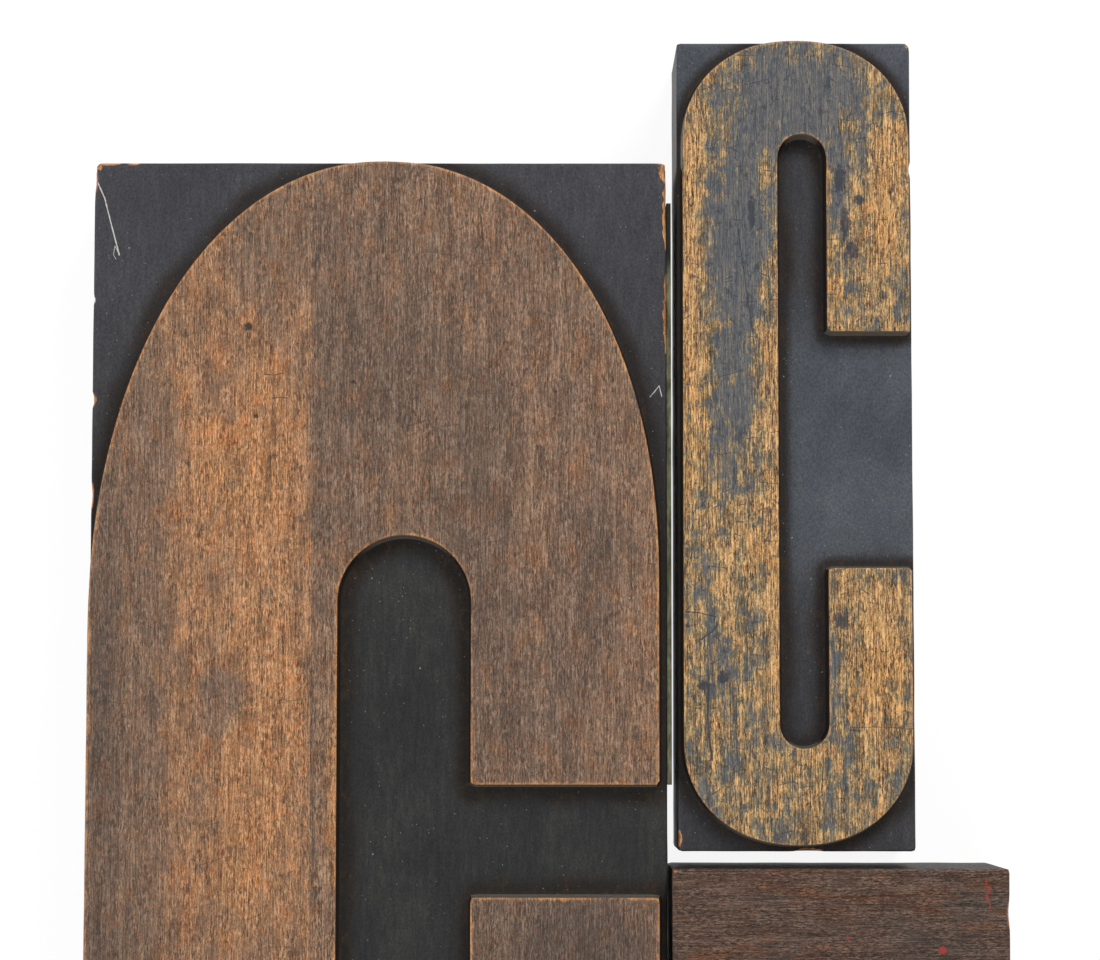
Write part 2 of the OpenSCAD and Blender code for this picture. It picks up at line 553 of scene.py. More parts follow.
def rim_loop(faces):
    """Vertices round the outside of a triangle patch, in order, anticlockwise."""
    ahead = {}
    sides = {(a, b) for f in faces for a, b in ((f[0], f[1]), (f[1], f[2]), (f[2], f[0]))}
    for a, b in sides:
        if (b, a) not in sides:
            ahead[a] = b
    start = next(iter(ahead))
    loop = [start]
    while ahead[loop[-1]] != start:
        loop.append(ahead[loop[-1]])
    return loop


def side_rows(top):
    """Heights of the rows of points under a block's rim, with each row's inset."""
    rows = [(top - drop, 0.0) for drop in SIDE_DROPS]
    return rows + [(np.full(len(top), height), inset) for height, inset in FOOT_ROWS]


def side_faces(loop, count, rows):
    """Quads between the rim and each row under it, and the foot that closes the mesh."""
    size = len(loop)
    rings = [loop] + [list(range(count + k * size, count + (k + 1) * size)) for k in range(rows)]
    faces = []
    for upper, lower in zip(rings, rings[1:]):
        for i in range(size):
            j = (i + 1) % size
            faces.append((upper[j], upper[i], lower[i], lower[j]))
    return faces + [tuple(reversed(rings[-1]))]


def write_mesh(name, verts, faces, attributes):
    """A new object from points in millimetres, with a number for each point and attribute."""
    mesh = bpy.data.meshes.new(name)
    mesh.from_pydata((verts * MM).tolist(), [], faces)
    for key, parts in attributes.items():
        layer = mesh.attributes.new(key, "FLOAT", "POINT")
        layer.data.foreach_set("value", np.concatenate(parts))
    mesh.shade_smooth()
    mesh.set_sharp_from_angle(angle=math.radians(SHARP))
    mesh.validate()
    return add_object(name, mesh)


def build_piece(name, block, x0=None, x1=None):
    """A closed mesh of a block, or of one stave of it between two uprights."""
    x0 = 0.0 if x0 is None else x0
    x1 = block.size[0] if x1 is None else x1
    plan, faces = plan_triangles(block, x0, x1)
    faces = upward(plan, faces)
    gap = block.border_gap(plan)
    strength, depth = block.wear(plan)
    z, inside = block.top(plan, gap)
    z = z - depth * smoothstep(-gap, -CHIP_IN, 0)
    verts = [np.column_stack([block.place(plan, gap, depth), z])]
    attributes = {"inside": [inside], "bare": [strength], "haze": [block.haze(plan)]}

    loop = rim_loop(faces)
    rim = plan[loop]
    rim_gap = np.where(block.border_gap(rim) < SAME_PLACE, 0, WEAR_REACH)
    centre = np.array([(x0 + x1) / 2, block.size[1] / 2])
    reach = np.array([(x1 - x0) / 2, block.size[1] / 2])
    rows = side_rows(z[loop])
    for height, inset in rows:
        away = np.maximum(0, 1 - (z[loop] - height) / CHIP_DOWN)
        side = block.place(rim, rim_gap, depth[loop] * away)
        side = centre + (side - centre) * (1 - inset / reach)
        verts.append(np.column_stack([side, height]))
        attributes["inside"].append(np.full(len(loop), ON_SIDE))
        attributes["bare"].append(strength[loop] * smoothstep(away, 0.2, 1))
        attributes["haze"].append(np.zeros(len(loop)))
    verts = np.vstack(verts)
    verts[:, :2] += block.corner
    faces = [tuple(f) for f in faces] + side_faces(loop, len(plan), len(rows))
    return write_mesh(name, verts, faces, attributes)


def add_object(name, mesh):
    """A new object in the scene's collection."""
    obj = bpy.data.objects.new(name, mesh)
    bpy.context.scene.collection.objects.link(obj)
    return obj


# ---------------------------------------------------------------- materials


def srgb(r, g, b):
    """Linear colour from screen values of 0 to 255."""
    def linear(c):
        c /= 255
        return c / 12.92 if c <= 0.04045 else ((c + 0.055) / 1.055) ** 2.4

    return (linear(r), linear(g), linear(b), 1.0)


class Graph:
    """One material's node tree, built with short calls. Positions in it are millimetres."""

    def __init__(self, name, specular=0.3):
        self.material = bpy.data.materials.new(name)
        self.material.use_nodes = True
        self.tree = self.material.node_tree
        self.shader = self.tree.nodes["Principled BSDF"]
        self.shader.inputs["Specular IOR Level"].default_value = specular
        coords = self.tree.nodes.new("ShaderNodeTexCoord").outputs["Object"]
        self.at = self.vector("SCALE", coords, scale=1 / MM)
        self.x, self.y, self.z = self.parts(self.at)

    def put(self, value, socket):
        """Links an output to a socket, or sets the socket to a number or a colour."""
        if isinstance(value, bpy.types.NodeSocket):
            self.tree.links.new(value, socket)
        elif socket.type == "RGBA" and isinstance(value, float):
            socket.default_value = (value, value, value, 1.0)
        else:
            socket.default_value = value

    def node(self, kind, *values):
        """A new node with its first inputs filled in."""
        node = self.tree.nodes.new(kind)
        for value, socket in zip(values, node.inputs):
            self.put(value, socket)
        return node

    def math(self, operation, a, b=0.0, c=0.0):
        node = self.node("ShaderNodeMath", a, b, c)
        node.operation = operation
        return node.outputs[0]

    def add(self, a, b):
        return self.math("ADD", a, b)

    def less(self, a, b):
        return self.math("SUBTRACT", a, b)

    def times(self, a, b):
        return self.math("MULTIPLY", a, b)

    def vector(self, operation, a, b=(0, 0, 0), scale=None):
        """A vector operation's result, which is a number for a length or a product."""
        node = self.node("ShaderNodeVectorMath", a, b)
        node.operation = operation
        if scale is not None:
            self.put(scale, node.inputs["Scale"])
        number = operation in ("LENGTH", "DOT_PRODUCT", "DISTANCE")
        return node.outputs["Value" if number else 0]

    def parts(self, vector):
        """The X, Y and Z of a vector."""
        return self.node("ShaderNodeSeparateXYZ", vector).outputs

    def stretched(self, scale, move=(0, 0, 0)):
        """Position times a scale in waves per millimetre, one for each axis."""
        return self.vector("ADD", self.vector("MULTIPLY", self.at, scale), move)

    def noise(self, scale, detail=2.0, rough=0.5, move=(0, 0, 0), warp=0.0):
        """Cloudy noise from 0 to 1, mostly near 0.5."""
        node = self.tree.nodes.new("ShaderNodeTexNoise")
        self.put(self.stretched(scale, move), node.inputs["Vector"])
        node.inputs["Scale"].default_value = 1.0
        node.inputs["Detail"].default_value = detail
        node.inputs["Roughness"].default_value = rough
        node.inputs["Distortion"].default_value = warp
        return node.outputs["Fac"]

    def cells(self, scale, move=(0, 0, 0)):
        """Random cells in plan, with three random numbers for each, and the node itself."""
        node = self.tree.nodes.new("ShaderNodeTexVoronoi")
        node.voronoi_dimensions = "2D"
        self.put(self.stretched((scale, scale, scale), move), node.inputs["Vector"])
        node.inputs["Scale"].default_value = 1.0
        random = self.node("ShaderNodeSeparateColor", node.outputs["Color"])
        return node, random.outputs[:3]

    def ease(self, value, low, high):
        """0 at low and 1 at high, with a smooth rise. High may be the smaller."""
        node = self.tree.nodes.new("ShaderNodeMapRange")
        node.interpolation_type = "SMOOTHSTEP"
        self.put(value, node.inputs["Value"])
        node.inputs["From Min"].default_value = min(low, high)
        node.inputs["From Max"].default_value = max(low, high)
        node.inputs["To Min"].default_value = 0.0 if low < high else 1.0
        node.inputs["To Max"].default_value = 1.0 if low < high else 0.0
        return node.outputs["Result"]

    def ramp(self, value, places, colours):
        """A colour that runs through several linear ones, each at its own place from 0 to 1."""
        node = self.node("ShaderNodeValToRGB", value)
        items = node.color_ramp.elements
        for i, (at, colour) in enumerate(zip(places, colours)):
            item = items[i] if i < 2 else items.new(at)
            item.position = at
            item.color = colour
        return node.outputs["Color"]

    def shades(self, value, places, key):
        """A ramp through the colours that the palette has under a key."""
        return self.ramp(value, places, [srgb(*colour) for colour in PALETTE[key]])

    def mix(self, factor, a, b, blend="MIX"):
        node = self.tree.nodes.new("ShaderNodeMix")
        node.data_type = "RGBA"
        node.blend_type = blend
        self.put(factor, node.inputs[0])
        self.put(a, node.inputs[6])
        self.put(b, node.inputs[7])
        return node.outputs[2]

    def tint(self, factor, colour, tint):
        """The colour multiplied by a tint, to the extent of a factor."""
        return self.mix(factor, colour, tint, "MULTIPLY")

    def attribute(self, name):
        """One of the numbers that the mesh carries at each point."""
        node = self.tree.nodes.new("ShaderNodeAttribute")
        node.attribute_name = name
        return node.outputs["Fac"]

    def blot(self, x, y, rx, ry, soft):
        """A round mark with a ragged edge."""
        away = self.vector("SUBTRACT", self.at, (x, y, 0))
        away = self.vector("MULTIPLY", away, (1 / rx, 1 / ry, 0))
        ragged = self.times(self.noise((1.3, 1.3, 1.3), 4.0, 0.7, (x, y, 0)), 2.4)
        return self.ease(self.add(self.vector("LENGTH", away), ragged), 2.1 + soft, 2.1 - soft)

    def stroke(self, a, b, width):
        """A straight scratch between two points."""
        along = (b[0] - a[0], b[1] - a[1], 0)
        length2 = along[0] ** 2 + along[1] ** 2
        flat = self.vector("SUBTRACT", self.at, (a[0], a[1], 0))
        flat = self.vector("MULTIPLY", flat, (1, 1, 0))
        share = self.times(self.vector("DOT_PRODUCT", flat, along), 1 / length2)
        node = self.node("ShaderNodeClamp", share)
        nearest = self.vector("SCALE", along, scale=node.outputs[0])
        gap = self.vector("DISTANCE", flat, nearest)
        gap = self.add(gap, self.times(self.noise((2.0, 2.0, 2.0), 2.0), width))
        return self.ease(gap, width * 1.25, width * 0.75)

    def line(self, points, width):
        """A scratch or a thread through several points."""
        return self.total(*[self.stroke(a, b, width) for a, b in zip(points, points[1:])])

    def marks(self, origin, blots, lines, soft=0.25):
        """Blots and lines whose places are measured from an origin, as one mask."""
        x0, y0 = origin
        masks = [self.blot(x0 + x, y0 + y, rx, ry, soft) for x, y, rx, ry in blots]
        for points, width in lines:
            masks.append(self.line([(x0 + x, y0 + y) for x, y in points], width))
        return self.total(0.0, *masks)

    def scratches(self, scale, lean, length, width, share, move=(0, 0, 0)):
        """Short random scratches, one to a cell in a share of the cells. Lean is the middle
        and the spread of their angles in radians."""
        node, (r, g, b) = self.cells(scale, move)
        at = self.stretched((scale, scale, scale), move)
        x, y, _ = self.parts(self.vector("SUBTRACT", at, node.outputs["Position"]))
        angle = self.math("MULTIPLY_ADD", r, 2 * lean[1], lean[0] - lean[1])
        cos, sin = self.math("COSINE", angle), self.math("SINE", angle)
        u = self.add(self.times(x, cos), self.times(y, sin))
        v = self.less(self.times(y, cos), self.times(x, sin))
        thick = self.ease(self.math("ABSOLUTE", v), width * scale, width * scale * 0.4)
        reach = self.times(g, length * scale)
        ends = self.ease(self.less(self.math("ABSOLUTE", u), reach), 0.02, -0.06)
        chosen = self.math("LESS_THAN", b, share)
        return self.times(self.times(thick, ends), chosen)

    def specks(self, scale, radius, share, move=(0, 0, 0)):
        """Small dots, one to a cell in a share of the cells."""
        node, (_, g, b) = self.cells(scale, move)
        size = self.math("MULTIPLY_ADD", g, radius * scale * 0.7, radius * scale * 0.3)
        dot = self.ease(self.less(node.outputs["Distance"], size), 0.01, -0.03)
        return self.times(dot, self.math("LESS_THAN", b, share))

    def total(self, *masks):
        """The strongest of several masks."""
        result = masks[0]
        for mask in masks[1:]:
            result = self.math("MAXIMUM", result, mask)
        return result

    def finish(self, colour, rough, height, strength, depth):
        """The material with its colour, its roughness and a relief whose depth is in mm."""
        self.put(colour, self.shader.inputs["Base Color"])
        self.put(rough, self.shader.inputs["Roughness"])
        node = self.tree.nodes.new("ShaderNodeBump")
        node.inputs["Strength"].default_value = strength
        node.inputs["Distance"].default_value = depth * MM
        self.put(height, node.inputs["Height"])
        self.put(node.outputs["Normal"], self.shader.inputs["Normal"])
        return self.material


def grain(g, along, flecks=1.65, lines=0.8, length=0.9, pores=0.12):
    """Side-grain maple's pattern from 0 to 1, with short flecks, long fine lines and dark
    open pores. Along is the grain's axis, 0 for X and 1 for Y."""
    def run(across, with_grain):
        scale = [across] * 3
        scale[along] = with_grain
        return tuple(scale)

    fleck = g.noise(run(4.6, length), 2.0, 0.65, (3, 1, 2), 0.35)
    fine = g.noise(run(7.5, 3.2), 2.0, 0.7, (6, 2, 9), 0.5)
    line = g.noise(run(6.0, 0.16), 1.0, 0.5, (2, 7, 1))
    vein = g.noise(run(0.9, 0.05), 3.0, 0.6, (5, 3, 0))
    mottle = g.noise(run(0.6, 0.2), 2.0, 0.5, (1, 1, 8))
    patchy = g.ease(g.noise(run(0.7, 0.4), 3.0, 0.6, (4, 8, 5)), 0.35, 0.65)
    flecked = g.times(g.less(fleck, 0.5), g.math("MULTIPLY_ADD", patchy, 0.9, 0.45))
    tone = g.math("MULTIPLY_ADD", flecked, flecks, 0.5 + pores * 0.3)
    for part, weight in [(fine, 1.15), (line, lines), (vein, 0.55), (mottle, 0.4)]:
        tone = g.add(tone, g.times(g.less(part, 0.5), weight))
    pore = g.noise(run(3.4, 0.16), 2.0, 0.6, (7, 5, 3), 0.15)
    pore = g.ease(g.math("ABSOLUTE", g.less(pore, 0.5)), 0.05, 0.01)
    return g.less(tone, g.times(pore, pores)), fleck


def wood(g, tone, key):
    """The grain's pattern in three of the palette's browns."""
    return g.shades(tone, (0.1, 0.5, 0.92), key)


def tinted(g, colour, amount):
    """Colour that drifts a little between orange and grey-green from fleck to fleck."""
    drift = g.noise((2.8, 1.3, 2.8), 3.0, 0.75, (4, 4, 4))
    colour = g.tint(g.times(g.ease(drift, 0.5, 0.68), amount), colour, ORANGE_TINT)
    return g.tint(g.times(g.ease(drift, 0.5, 0.32), amount), colour, GREEN_TINT)


def black_ink(g, inside, shade, blue):
    """Old ink on the routed ground, with painted shade along the letter's walls: colour,
    roughness and height. Shade is from 0 for dull black to 1 for a greyer black, and blue is how
    blue-grey it is."""
    brush = g.noise((1.8, 0.3, 1.8), 4.0, 0.6)
    cloud = g.noise((0.1, 0.06, 0.3), 3.0, 0.55, (4, 0, 0))
    tone = g.add(g.times(brush, 0.5), g.times(cloud, 0.5))
    dull, grey = (g.shades(tone, (0.3, 0.5, 0.72), key) for key in ("dull_ink", "grey_ink"))
    base = g.mix(shade, dull, grey)
    # Painted shade: the ground turns dark brown in a band along the letter's walls, where the
    # walls shade it
    near_wall_shade = g.ease(g.add(inside, g.times(g.less(cloud, 0.5), 6.0)), -3.8, -0.9)
    base = g.mix(g.times(near_wall_shade, 0.8), base, srgb(33, 26, 19))
    base = g.mix(blue, base, g.shades(cloud, (0.3, 0.7), "blue_ink"))
    rubbed = g.noise((0.9, 0.5, 0.9), 4.0, 0.65, (0, 9, 0))
    rubbed = g.times(near_wall_shade, g.ease(rubbed, 0.5, 0.66))
    base = g.mix(g.times(rubbed, 0.6), base, srgb(62, 45, 30))
    base = wall_and_dust(g, inside, base)
    rough = g.math("MULTIPLY_ADD", brush, 0.25, 0.38)
    rough = g.add(rough, g.times(near_wall_shade, 0.25))
    return base, rough, brush


def wall_and_dust(g, inside, base):
    """The inked ground with the letter's walls, painted paler where they face the head or the
    foot as a painted highlight, and with dust that lies only where the ground is level."""
    normal = g.tree.nodes.new("ShaderNodeNewGeometry").outputs["True Normal"]
    _, ahead, up = g.parts(normal)
    # Painted highlight: walls that face the head or the foot get a paler grey
    wall_highlight = g.ease(g.math("ABSOLUTE", ahead), 0.6, 0.95)
    wall = g.mix(wall_highlight, srgb(36, 32, 29), srgb(104, 97, 89))
    base = g.mix(g.ease(inside, -WALL_RUN - 0.2, -WALL_RUN), base, wall)
    speckle = g.noise((4.0, 2.6, 4.0), 3.0, 0.7, (1, 3, 5))
    base = g.tint(1.0, base, g.ramp(speckle, (0.3, 0.7), (DARKER, LIGHTER)))
    dust = g.total(
        g.specks(1.4, 0.08, 0.05, (3, 5, 0)),
        g.specks(0.35, 0.16, 0.05, (8, 2, 0)),
    )
    dust = g.times(dust, g.ease(up, 0.6, 0.9))
    return g.mix(g.times(dust, 0.7), base, srgb(170, 166, 160))


def side_wood(g, tone):
    """Stained wood on the sides of a block and bare wood under it, on its foot."""
    saw = g.noise((0.15, 1.6, 0.15), 2.0, 0.4, (0, 0, 6), 0.2)
    foot = g.mix(g.times(g.ease(saw, 0.45, 0.7), 0.4), wood(g, tone, "foot"), srgb(70, 52, 40))
    return g.mix(g.ease(g.z, 0.9, 0.05), wood(g, tone, "stained_side"), foot)


def chipped(g, colour, tone, fleck, key):
    """The surface with bare wood in its chips, ragged along the flecks of the grain."""
    bare = g.ease(g.add(g.attribute("bare"), g.times(fleck, 0.5)), 0.62, 0.85)
    return g.mix(bare, colour, wood(g, tone, key))


def printed_wood(g, block, face, grained, ink_tone, dark, mark, threads=0.0):
    """The whole surface of a letter block: the face, the inked ground, sides and foot.
    Grained is the grain's pattern and its flecks, ink_tone the shade and the blue of the
    ground's ink, dark the mask of the face's marks, and mark their colour."""
    tone, fleck = grained
    inside = g.attribute("inside")
    ink, ink_rough, brush = black_ink(g, inside, *ink_tone)
    is_side = g.ease(g.z, block.high - RELIEF - 0.6, block.high - RELIEF - 1.4)
    ink = g.mix(is_side, ink, side_wood(g, tone))
    ink = g.mix(g.times(threads, 0.9), ink, srgb(206, 203, 197))
    wall = g.times(g.ease(inside, -WALL_RUN - 0.1, -WALL_RUN + 0.1), g.ease(inside, 0.1, 0.0))
    on_face = g.ease(inside, 0.03, 0.13)
    colour = g.mix(on_face, ink, g.mix(dark, face, mark))
    colour = chipped(g, colour, tone, fleck, "letter_bare")
    rough = g.mix(on_face, ink_rough, g.math("MULTIPLY_ADD", tone, -0.2, 0.62))
    rough = g.mix(wall, rough, 0.28)
    height = g.mix(on_face, g.times(brush, 0.7), g.less(tone, g.times(dark, 1.2)))
    return g.finish(colour, rough, height, 0.35, 0.12)


def worn_rim(g, amount, width, reach):
    """Where the face's edge is rubbed to clean wood, in broken lengths."""
    ragged = g.noise((1.1, 0.7, 1.1), 3.0, 0.6, (3, 8, 2))
    lengths = g.noise((0.12, 0.07, 0.12), 3.0, 0.6, (6, 6, 1))
    gap = g.add(g.attribute("inside"), g.times(ragged, reach))
    rim = g.ease(gap, width + reach * 0.7, width + reach * 0.25)
    return g.times(rim, g.times(g.ease(lengths, 0.3, 0.5), amount))


def wide_face(g, tone, stave):
    """The wide letter's printing face, in a stave's clean and hazy browns."""
    patches = g.attribute("haze")
    cloud = g.noise((0.1, 0.04, 0.2), 4.0, 0.6, (2, 2, 0))
    patch = g.noise((0.32, 0.2, 0.2), 3.0, 0.6, (7, 3, 0))
    haze = g.add(g.times(cloud, 0.6), g.times(patch, 0.4))
    haze = g.ease(g.add(haze, patches), 0.3, 0.74)
    face = g.mix(haze, wood(g, tone, stave + "_clean"), wood(g, tone, stave + "_hazy"))
    glow = g.times(g.ease(patches, -0.25, -0.6), 0.85)
    face = g.mix(glow, face, wood(g, tone, "wide_glow"))
    grime = g.noise((0.34, 0.24, 0.3), 5.0, 0.7, (4, 6, 0))
    grime = g.times(g.ease(grime, 0.5, 0.64), 0.48)
    grime = g.total(grime, g.times(g.ease(patches, 0.35, 0.95), 0.85))
    face = g.mix(grime, face, wood(g, tone, "wide_grime"))
    amber = g.noise((0.3, 0.16, 0.3), 4.0, 0.65, (9, 9, 0))
    face = g.tint(g.times(g.ease(amber, 0.5, 0.66), 0.6), face, AMBER_TINT)
    face = tinted(g, face, 0.75)
    face = g.mix(worn_rim(g, 0.85, 0.35, 1.2), face, wood(g, tone, "wide_rubbed"))
    light_specks = g.specks(0.1, 0.2, 0.12, (5, 5, 0))
    return g.mix(g.times(light_specks, 0.8), face, srgb(214, 196, 176))


def wide_material(name, block, stave):
    """The wide letter's maple for one of its staves, with a painted sheen that turns the ink
    greyer towards the head.
    """
    g = Graph(name)
    tone, fleck = grain(g, 1)
    face = wide_face(g, tone, stave["wood"])
    left, head = block.corner + (0, block.size[1])
    worn = g.total(
        g.scratches(0.16, (0.05, 0.5), 2.4, 0.06, 0.35),
        g.scratches(0.3, (1.0, 1.6), 1.0, 0.06, 0.2, (9, 4, 0)),
        g.specks(0.3, 0.24, 0.14, (1, 6, 0)),
    )
    named = g.marks((left, head), stave["blots"], stave["lines"], 0.35)
    dark = g.total(g.times(worn, 0.65), g.times(named, 0.9))
    threads = g.marks((left, head), [], stave["threads"])
    # Painted sheen: the ground's ink turns greyer towards the head
    shade = g.ease(g.y, head - 66, head - 12)
    mark = srgb(44, 40, 39)
    return printed_wood(g, block, face, (tone, fleck), (shade, 0.0), dark, mark, threads)


def narrow_face(g, tone):
    """The narrow letter's printing face, golden maple with blue-grey ink in its grain."""
    gold = wood(g, tone, "narrow_gold")
    orange = g.noise((0.12, 0.05, 0.2), 3.0, 0.6, (0, 4, 0))
    gold = g.tint(g.times(g.ease(orange, 0.42, 0.7), 0.5), gold, GOLD_TINT)
    streak = g.noise((0.7, 0.05, 0.5), 4.0, 0.62, (1, 0, 2))
    patch = g.noise((0.42, 0.3, 0.2), 5.0, 0.75, (9, 2, 0))
    haze = g.add(g.times(streak, 0.6), g.times(patch, 1.4))
    haze = g.add(g.less(haze, 0.48), g.attribute("haze"))
    haze = g.add(haze, g.times(g.less(0.5, tone), 0.12))
    face = g.mix(g.times(g.ease(haze, 0.32, 0.6), 0.8), gold, wood(g, tone, "narrow_film"))
    face = g.mix(g.times(g.ease(haze, 0.5, 0.74), 0.95), face, wood(g, tone, "narrow_inky"))
    face = tinted(g, face, 0.6)
    return g.mix(worn_rim(g, 0.7, 0.25, 1.1), face, wood(g, tone, "narrow_rubbed"))


def narrow_material(name, block):
    """The narrow letter's worn maple, with ink that is bluer in its mouth and by its head."""
    g = Graph(name)
    tone, fleck = grain(g, 1, 1.7, 1.0, 0.8, 0.26)
    face = narrow_face(g, tone)
    bruise = g.noise((0.75, 0.42, 0.5), 4.0, 0.7, (2, 9, 3))
    dent = g.noise((0.32, 0.95, 0.5), 3.0, 0.6, (8, 1, 3))
    worn = g.total(
        g.ease(bruise, 0.58, 0.68),
        g.times(g.ease(dent, 0.66, 0.73), 0.8),
        g.scratches(0.24, (0.05, 0.3), 2.0, 0.1, 0.35),
        g.scratches(0.45, (0.1, 0.9), 0.9, 0.12, 0.35, (4, 9, 0)),
        g.scratches(0.4, (1.57, 0.12), 1.8, 0.1, 0.5, (7, 1, 0)),
        g.specks(0.8, 0.16, 0.2, (2, 6, 0)),
    )
    named = g.marks(block.corner, NARROW_BLOTS, NARROW_LINES)
    dark = g.total(g.times(worn, 0.7), g.times(named, 0.85))
    left, foot = block.corner
    head = foot + block.size[1]
    from_mouth = g.math("ABSOLUTE", g.less(g.y, foot + 62))
    by_mouth = g.times(g.ease(from_mouth, 30, 12), g.ease(g.x, left + 12, left + 18))
    by_head = g.ease(g.y, head - 18, head - 6)
    blue = g.times(g.total(by_mouth, by_head), g.ease(g.attribute("inside"), -0.9, -2.6))
    return printed_wood(g, block, face, (tone, fleck), (0.7, blue), dark, srgb(46, 52, 62))


def plain_material(name, block):
    """Dark oiled maple with its grain across the block, and specks of red ink."""
    g = Graph(name, 0.22)
    tone, fleck = grain(g, 0, 1.65, 0.7, 1.1, 0.14)
    cloud = g.noise((0.08, 0.2, 0.2), 4.0, 0.6, (2, 2, 0))
    cloud = g.times(g.ease(cloud, 0.44, 0.66), 0.6)
    brown = g.mix(cloud, wood(g, tone, "plain_brown"), wood(g, tone, "plain_cloud"))
    warm = g.noise((0.12, 0.5, 0.2), 4.0, 0.65, (6, 0, 0))
    brown = g.tint(g.times(g.ease(warm, 0.5, 0.66), 0.7), brown, RUSSET_TINT)
    brown = tinted(g, brown, 0.4)
    red = g.marks(block.corner, RED_SPOTS, [])
    dark = g.total(
        g.scratches(0.2, (0.9, 0.9), 1.0, 0.07, 0.3),
        g.specks(0.4, 0.2, 0.12, (1, 6, 0)),
    )
    face = g.mix(g.times(dark, 0.6), brown, srgb(32, 27, 26))
    face = g.mix(g.times(red, 0.85), face, srgb(168, 52, 44))
    on_face = g.ease(g.z, block.high - 0.6, block.high - 0.2)
    colour = g.mix(on_face, side_wood(g, tone), face)
    colour = chipped(g, colour, tone, fleck, "plain_bare")
    rough = g.math("MULTIPLY_ADD", tone, -0.2, 0.64)
    return g.finish(colour, rough, g.less(tone, g.times(dark, 1.2)), 0.35, 0.12)


def card_material(name, top):
    """Olive-grey card, with the gap's shadow painted on it: dark at its upper end and in long
    patches, more of them lower down.
    """
    g = Graph(name)
    fibre = g.noise((1.5, 0.5, 1.5), 4.0, 0.6)
    colour = g.shades(fibre, (0.3, 0.7), "card")
    # Painted shadow: long dark patches, more of them lower down in the gap, and a dark upper end
    gap_shadow_noise = g.noise((0.5, 0.09, 0.4), 4.0, 0.65, (2, 0, 0))
    gap_shadow_noise = g.add(gap_shadow_noise, g.times(g.ease(g.z, 9, 3), 0.2))
    gap_shadow = g.total(g.ease(g.y, top - 14, top - 8), g.ease(gap_shadow_noise, 0.42, 0.78))
    colour = g.mix(g.times(gap_shadow, 0.9), colour, srgb(26, 25, 24))
    return g.finish(colour, 0.8, fibre, 0.4, 0.1)


# ---------------------------------------------------------------- scene


def aim(obj, target):
    """Turns a lamp so that it shines at the target."""
    direction = Vector(target) - obj.location
    obj.rotation_euler = direction.to_track_quat("-Z", "Y").to_euler()


def add_camera():
    """The camera looks almost straight down, a little towards the letters' heads."""
    data = bpy.data.cameras.new("camera")
    data.sensor_width = 36.0
    data.lens = 103.58
    data.clip_start, data.clip_end = 0.01, 10.0
    camera = add_object("camera", data)
    camera.location = (0.00112, 0.00684, 0.5115)
    camera.rotation_euler = [math.radians(a) for a in (4.553, 0.071, 0.044)]
    bpy.context.scene.camera = camera


def add_area(name, place, size, power, target=(0, 0, 0.02)):
    """A square soft lamp."""
    data = bpy.data.lights.new(name, "AREA")
    data.size = size
    data.energy = power
    lamp = add_object(name, data)
    lamp.location = place
    aim(lamp, target)


def add_light():
    """Even white studio light, strongest from beyond the letters' heads on the right."""
    world = bpy.data.worlds.new("studio")
    world.use_nodes = True
    background = world.node_tree.nodes["Background"]
    background.inputs["Color"].default_value = (1, 1, 1, 1)
    background.inputs["Strength"].default_value = 0.5
    bpy.context.scene.world = world
    add_area("key", (0.35, 0.65, 0.6), 0.35, 4.2)
    add_area("fill", (-0.6, 0.1, 0.55), 0.6, 1.8)
    add_area("front", (0.1, -0.7, 0.5), 0.6, 1.1)
    bpy.context.scene.view_settings.view_transform = "Standard"


def add_floor():
    """A pale floor that glows a little, so that it stays white between the blocks."""
    half = 3.0
    mesh = bpy.data.meshes.new("floor")
    corners = [(-half, -half, 0), (half, -half, 0), (half, half, 0), (-half, half, 0)]
    mesh.from_pydata(corners, [], [(0, 1, 2, 3)])
    floor = add_object("floor", mesh)
    g = Graph("floor_white", 0.0)
    g.shader.inputs["Base Color"].default_value = (0.15, 0.15, 0.15, 1)
    g.shader.inputs["Roughness"].default_value = 0.9
    g.shader.inputs["Emission Color"].default_value = (1, 1, 1, 1)
    g.shader.inputs["Emission Strength"].default_value = 0.9
    mesh.materials.append(g.material)


def dress(obj, material, body, node):
    """Gives a piece its material and its body, and hides the CAD node that it stands for."""
    obj.data.materials.append(material)
    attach(obj, body)
    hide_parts(node)


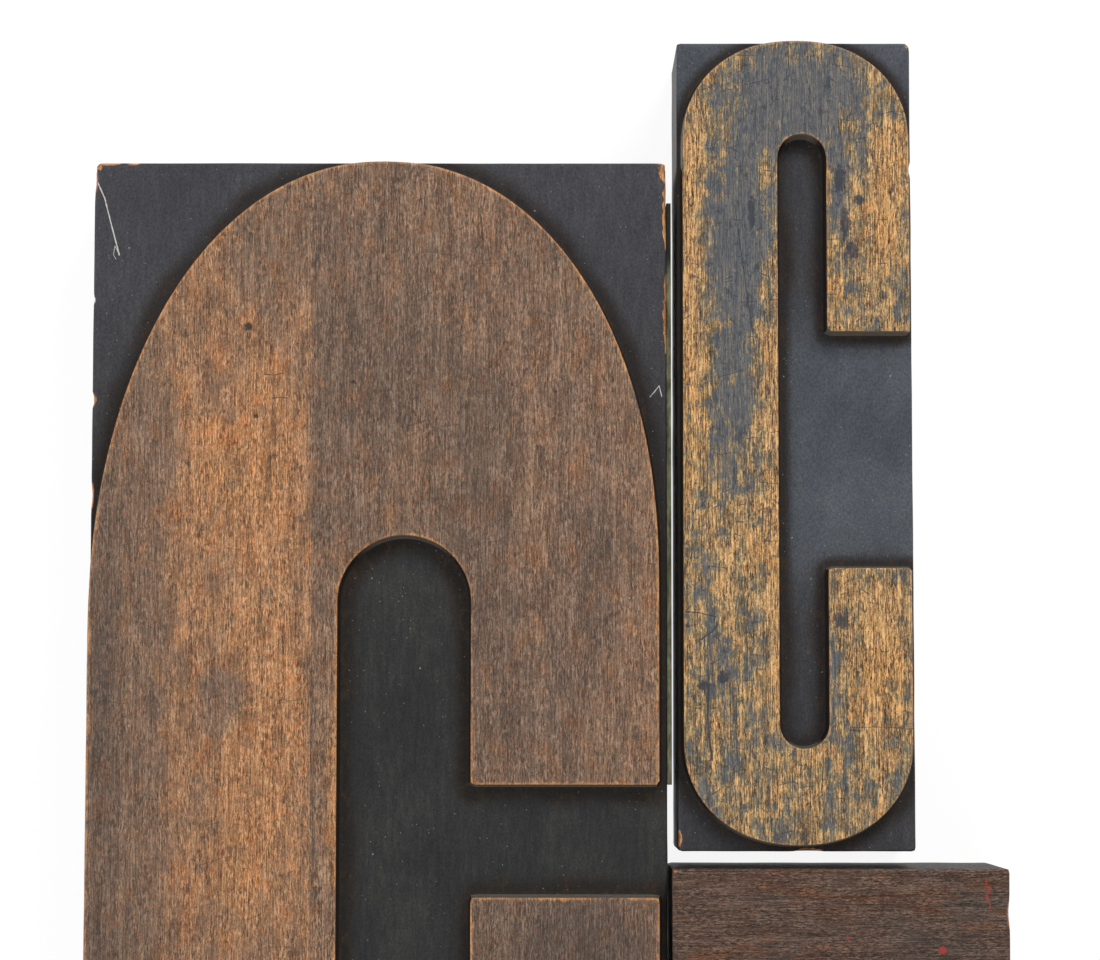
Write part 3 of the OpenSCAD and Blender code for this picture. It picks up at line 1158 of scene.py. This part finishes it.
def wide_letter(frame):
    """The wide letter's three staves and the card on its side."""
    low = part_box("wide_left_stave")[0]
    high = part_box("wide_right_stave")[1]
    block = Block(low, high, WIDE, step=0.9, spacing=1.7, seed=11)
    w, h = block.size
    block.chips = [
        (0.2, h - 0.2, 1.5, 1.2, 0.5),
        (0.1, h - 2.5, 0.5, 3.8, 0.35),
        (2.6, h - 0.1, 2.2, 0.4, 0.3),
        (6.0, h - 0.1, 0.8, 0.45, 0.35),
        (w - 0.1, h - 1.0, 1.4, 3.4, 0.3),
        (w - 0.1, h - 8.0, 0.6, 8.0, 0.15),
        (w - 0.1, h - 24.0, 0.5, 9.0, 0.15),
        (0.1, h - 21.5, 0.5, 0.8, 0.3),
        (0.1, h - 37.5, 0.7, 1.6, 0.45),
        (0.1, h - 52.5, 0.45, 2.6, 0.3),
    ]
    block.patches = WIDE_PATCHES
    cuts = [cut / MM - block.corner[0] for cut in (x[0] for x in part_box("wide_middle_stave"))]
    edges = [0.0, *cuts, w]
    for stave, x0, x1 in zip(WIDE_STAVES, edges, edges[1:]):
        node = "wide_" + stave["wood"] + "_stave"
        slot = "wide_" + stave["wood"] + "_wood"
        obj = build_piece(node + "_wood", block, x0, x1)
        dress(obj, wide_material(slot, block, stave), "wide_letter", node)
    card = frame["nodes"]["side_packing_strip"]
    material = card_material("card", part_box("side_packing_strip")[1][1] / MM)
    card.data.materials.clear()
    card.data.materials.append(material)


def narrow_letter():
    """The narrow letter, in one block."""
    low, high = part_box("narrow_letter_block")
    block = Block(low, high, NARROW, step=0.7, spacing=1.2, seed=23)
    w, h = block.size
    block.chips = [
        (w - 0.1, h - 0.1, 0.8, 0.8, 0.4),
        (w - 0.1, h - 20.2, 0.7, 1.2, 0.5),
        (20.0, 0.1, 3.0, 0.6, 0.35),
        (0.1, 2.0, 0.6, 2.0, 0.3),
    ]
    block.dents = [(28.0, 61.0, 2.6, 2.2, 0.12)]
    block.patches = NARROW_PATCHES
    obj = build_piece("narrow_letter_wood", block)
    material = narrow_material("narrow_wood", block)
    dress(obj, material, "narrow_letter", "narrow_letter_block")


def plain_block():
    """The plain block."""
    low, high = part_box("plain_block")
    block = Block(low, high, None, step=0.8, spacing=1.5, seed=37)
    w, h = block.size
    block.chips = [
        (0.3, h - 0.3, 0.9, 0.6, 0.4),
        (w - 0.1, h - 7.0, 0.5, 3.0, 0.3),
    ]
    obj = build_piece("plain_block_wood", block)
    dress(obj, plain_material("plain_wood", block), "plain", "plain_block")


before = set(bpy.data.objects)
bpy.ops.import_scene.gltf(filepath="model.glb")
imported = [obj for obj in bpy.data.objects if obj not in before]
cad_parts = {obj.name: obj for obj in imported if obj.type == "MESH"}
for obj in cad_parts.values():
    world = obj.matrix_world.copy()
    obj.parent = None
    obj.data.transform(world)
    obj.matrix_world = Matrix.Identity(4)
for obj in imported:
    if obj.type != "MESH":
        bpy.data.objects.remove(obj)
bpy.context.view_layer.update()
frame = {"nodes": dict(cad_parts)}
add_camera()
wide_letter(frame)
narrow_letter()
plain_block()
add_light()
add_floor()
